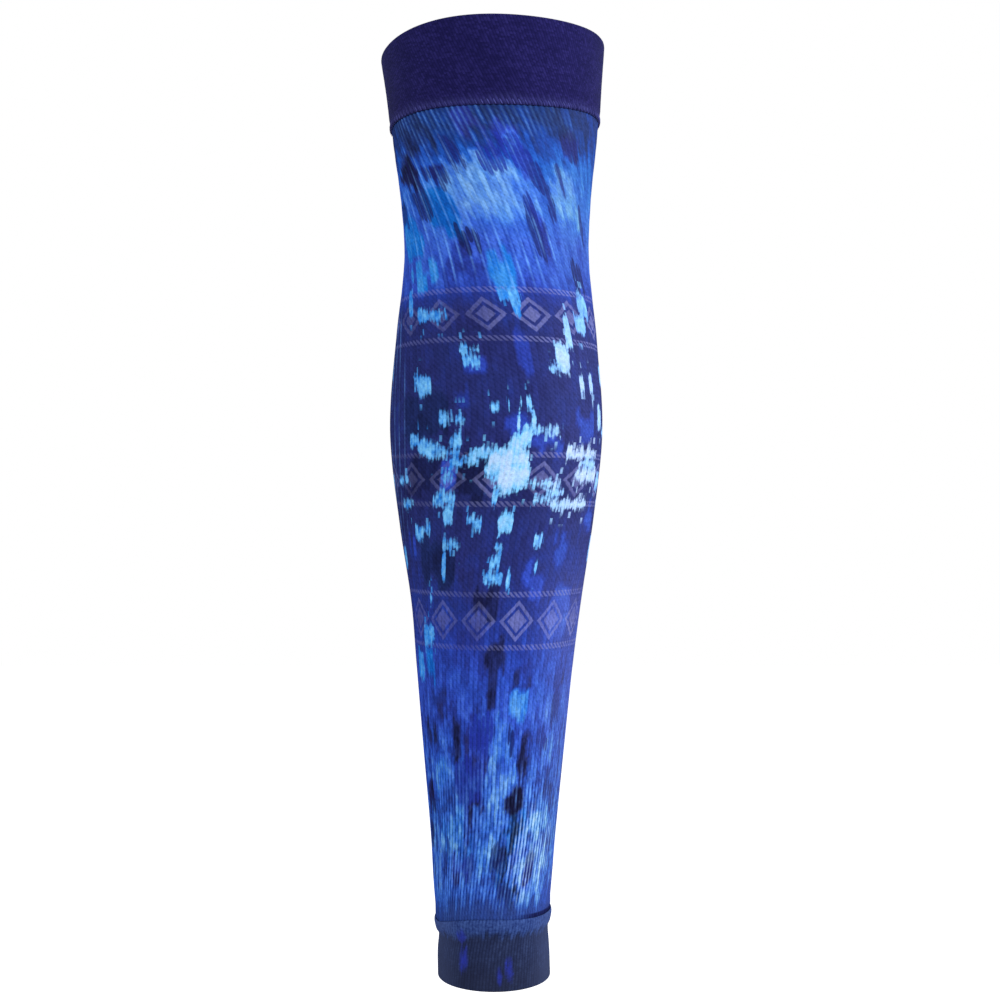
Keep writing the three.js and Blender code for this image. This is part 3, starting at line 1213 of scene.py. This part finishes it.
INSIDE_PALE = colour_of(176, 190, 222)
# painted shade for the grooves of the inside
INSIDE_GROOVE_SHADE = colour_of(120, 136, 184)
BAND_TONES = (
    (0.0, colour_of(22, 20, 66)),
    (0.4, colour_of(31, 28, 82)),
    (1.0, colour_of(50, 46, 112)),
)
SEAM_BLUE = colour_of(76, 78, 146)
YARN_NAVY = colour_of(38, 38, 92)
YARN_WORN = colour_of(74, 76, 142)


def knit_inside():
    finish = Finish(bpy.data.materials.new("knit_inside"))
    knit = read_knit(finish)
    groove = knit.beside.step(0.25, 0.5)
    grain = finish.speck(knit.wale, knit.height, COURSE_PITCH)
    # painted shade in the grooves, with random tone of single stitches
    colour = finish.mix(groove * 0.6 + grain * 0.25, INSIDE_PALE, INSIDE_GROOVE_SHADE)
    relief = knit.stitch * 0.4 + (0.5 - knit.beside)
    return finish.knit(colour, 0.92 - grain * 0.05, relief, sheen=0.2)


def band_knit():
    finish = Finish(bpy.data.materials.new("band_knit"))
    knit = read_knit(finish, 2 * FINE_RIBS, FINE_COURSE_PITCH)
    grain = finish.speck(knit.wale, knit.height, FINE_COURSE_PITCH)
    patch = finish.noise(finish.place(), 90, 3)
    groove = knit.beside.step(0.2, 0.5)
    # painted shade in the grooves, with random tone of stitches and patches
    share = 0.35 + grain.sway(0.5) + patch.sway(0.5) - groove * 0.3
    colour = finish.ramp(share, BAND_TONES)
    # the tube's ribs run on into the seam
    rib = knit.around * FINE_RIBS
    rib = (0.3 - abs(rib - rib.nearest())).step(0.0, 0.2)
    ridge = (knit.height - BAND_SEAM + patch.sway(5 * MM)).step(5.5 * MM, 1 * MM)
    colour = finish.mix(ridge * (0.1 + rib * 0.22), colour, SEAM_BLUE)
    relief = knit.stitch * 0.3 + (0.5 - knit.beside)
    return finish.knit(colour, 0.9 - groove * 0.05, relief, sheen=0.05, bump=0.4)


def stitch_yarn():
    finish = Finish(bpy.data.materials.new("stitch_yarn"))
    place = finish.place()
    worn = finish.noise(place, 140, 3)
    colour = finish.mix(worn.step(0.35, 0.65), YARN_NAVY, YARN_WORN)
    relief = finish.noise(place, 3000, 2)
    return finish.knit(colour, 0.92 - worn * 0.1, relief, sheen=0.03, bump=0.3)


CUFF_FLECKS = patches(
    (-14, -248, 1.6, 2.5),
    (-13, -258, 1.5, 5.0),
    (2, -264, 1.0, 3.0),
    (6, -261, 1.5, 4.0),
)
CUFF_TONES = (
    (0.0, colour_of(26, 32, 58)),
    (0.4, colour_of(38, 47, 80)),
    (1.0, colour_of(64, 79, 122)),
)
ROLL_TONES = (
    (0.0, colour_of(32, 52, 114)),
    (1.0, colour_of(76, 106, 176)),
)
WRIST_GREY = colour_of(36, 40, 60)
# painted sheen, lighter towards both sides of the cuff
CUFF_SIDE_SHEEN = colour_of(90, 104, 150)
CUFF_INK = colour_of(43, 55, 168)


def cuff_knit():
    finish = Finish(bpy.data.materials.new("cuff_knit"))
    knit = read_knit(finish)
    place = finish.place()
    x, _, z = finish.split(place)
    grain = finish.speck(knit.wale, knit.height, FINE_COURSE_PITCH)
    patch = finish.noise(place, 120, 3)
    streak = finish.streaks(knit.wale, knit.height, WALE_SPREAD, 140)
    fuzz = finish.noise(place, 900, 2)
    groove = knit.beside.step(0.2, 0.5)
    share = 0.42 + grain.sway(0.12) + fuzz.sway(0.45) + patch.sway(0.4) + streak.sway(0.4)
    # painted shade in the grooves
    share = share - groove * 0.28
    colour = finish.ramp(share, CUFF_TONES)
    # greyer towards the wrist edge
    greyer = (-252 * MM - knit.height).step(0.0, 16 * MM) * 0.5
    colour = finish.mix(greyer, colour, WRIST_GREY)
    # the roll takes on the blue of the tube
    roll = (knit.height - CUFF_SEAM + streak.sway(8 * MM)).step(-9 * MM, -4 * MM)
    colour = finish.mix(roll * 0.75, colour, finish.ramp(share + fuzz.sway(0.9), ROLL_TONES))
    # painted sheen: the cuff is made lighter towards both sides, as the front view sees them
    colour = finish.mix(abs(x).step(12 * MM, 24 * MM) * 0.2, colour, CUFF_SIDE_SHEEN)
    fleck = 0
    for spot in CUFF_FLECKS:
        beside = (x - spot.across * MM) / (spot.wide * MM)
        above = (z - spot.height * MM) / (spot.tall * MM)
        depth = 1.3 - beside * beside - above * above + streak.sway(4) + fuzz.sway(2)
        fleck = depth.step(-1.2, 2.8).most(fleck)
    colour = finish.mix(fleck * 0.9, colour, CUFF_INK)
    relief = knit.stitch * 0.15 + (0.5 - knit.beside) * 0.6
    return finish.knit(colour, 0.9 - groove * 0.05, relief, sheen=0.01)


# Picture

LENS_MM = 46.8
SENSOR_MM = 36
CAMERA_PLACE = (0.00218, -0.5664, -0.06536)  # level, in front of the forearm
FLOOR_HEIGHT = -330 * MM
FLOOR_SIZE = 3
FLOOR_ROUGHNESS = 0.9
FLOOR_GLOW = 0.5
FLOOR_PALE = colour_of(244, 245, 248)
FLOOR_WHITE = colour_of(250, 250, 252)
FLOOR_DIM = colour_of(190, 192, 196)
SOFT_LIGHT = (0.96, 0.97, 1.0, 1.0)
SOFT_STRENGTH = 0.6
LIGHT_SIZE = 0.8
LIGHT_AIM = (0, 0, -60 * MM)


def set_picture():
    bpy.ops.object.camera_add(location=CAMERA_PLACE, rotation=(math.pi / 2, 0, 0))
    camera = bpy.context.object
    camera.data.lens = LENS_MM
    camera.data.sensor_width = SENSOR_MM
    bpy.context.scene.camera = camera
    add_light("key", place=(1.0, -0.35, 0.2), watts=10)
    add_light("fill", place=(-1.0, -0.35, 0.1), watts=2.5)
    add_light("front", place=(0.1, -1.2, 0.2), watts=4)
    light_world()
    lay_floor()
    bpy.context.scene.view_settings.view_transform = "Standard"


def add_light(name, place, watts):
    bpy.ops.object.light_add(type="AREA", location=place)
    light = bpy.context.object
    light.name = name
    light.data.size = LIGHT_SIZE
    light.data.energy = watts
    aim = Vector(LIGHT_AIM) - Vector(place)
    light.rotation_euler = aim.to_track_quat("-Z", "Y").to_euler()


def light_world():
    """A soft even light from all round, with plain white behind the sleeve."""
    world = bpy.data.worlds.new("studio")
    bpy.context.scene.world = world
    finish = Finish(world)
    soft = finish.node("Background", None, {"Color": SOFT_LIGHT, "Strength": SOFT_STRENGTH})
    white = finish.node("Background", None, {"Color": WHITE})
    shader = finish.for_camera(white.outputs["Background"], soft.outputs["Background"])
    finish.node("OutputWorld", None, {"Surface": shader})


def lay_floor():
    """A plain pale floor, well below the cuff, because an arm holds the sleeve up. The camera sees it as
    white as what is behind it, and it throws no more light on the sleeve than the world does."""
    bpy.ops.mesh.primitive_plane_add(size=FLOOR_SIZE, location=(0, 0, FLOOR_HEIGHT))
    floor = bpy.context.object
    floor.name = floor.data.name = "floor"
    bpy.ops.object.transform_apply(location=True, rotation=True, scale=True)
    finish = Finish(bpy.data.materials.new("floor"))
    smudge = finish.noise(finish.place(), 6, 3)
    bright = {
        "Base Color": finish.mix(smudge, FLOOR_PALE, FLOOR_WHITE),
        "Roughness": FLOOR_ROUGHNESS,
        "Emission Color": WHITE,
        "Emission Strength": FLOOR_GLOW,
    }
    dim = {"Base Color": FLOOR_DIM, "Roughness": FLOOR_ROUGHNESS}
    seen, otherwise = (
        finish.node("BsdfPrincipled", None, looks).outputs["BSDF"] for looks in (bright, dim)
    )
    finish.node("OutputMaterial", None, {"Surface": finish.for_camera(seen, otherwise)})
    floor.data.materials.append(finish.owner)


body = make_body()
band = make_band()
stitches = make_stitches()
cuff = make_cuff()
set_picture()

for piece, node, slot in (
    (body, "sleeve_body", "printed_knit"),
    (band, "upper_band", "band_knit"),
    (cuff, "wrist_cuff", "cuff_knit"),
):
    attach(piece, "root")
    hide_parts(node)
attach(stitches, "root")
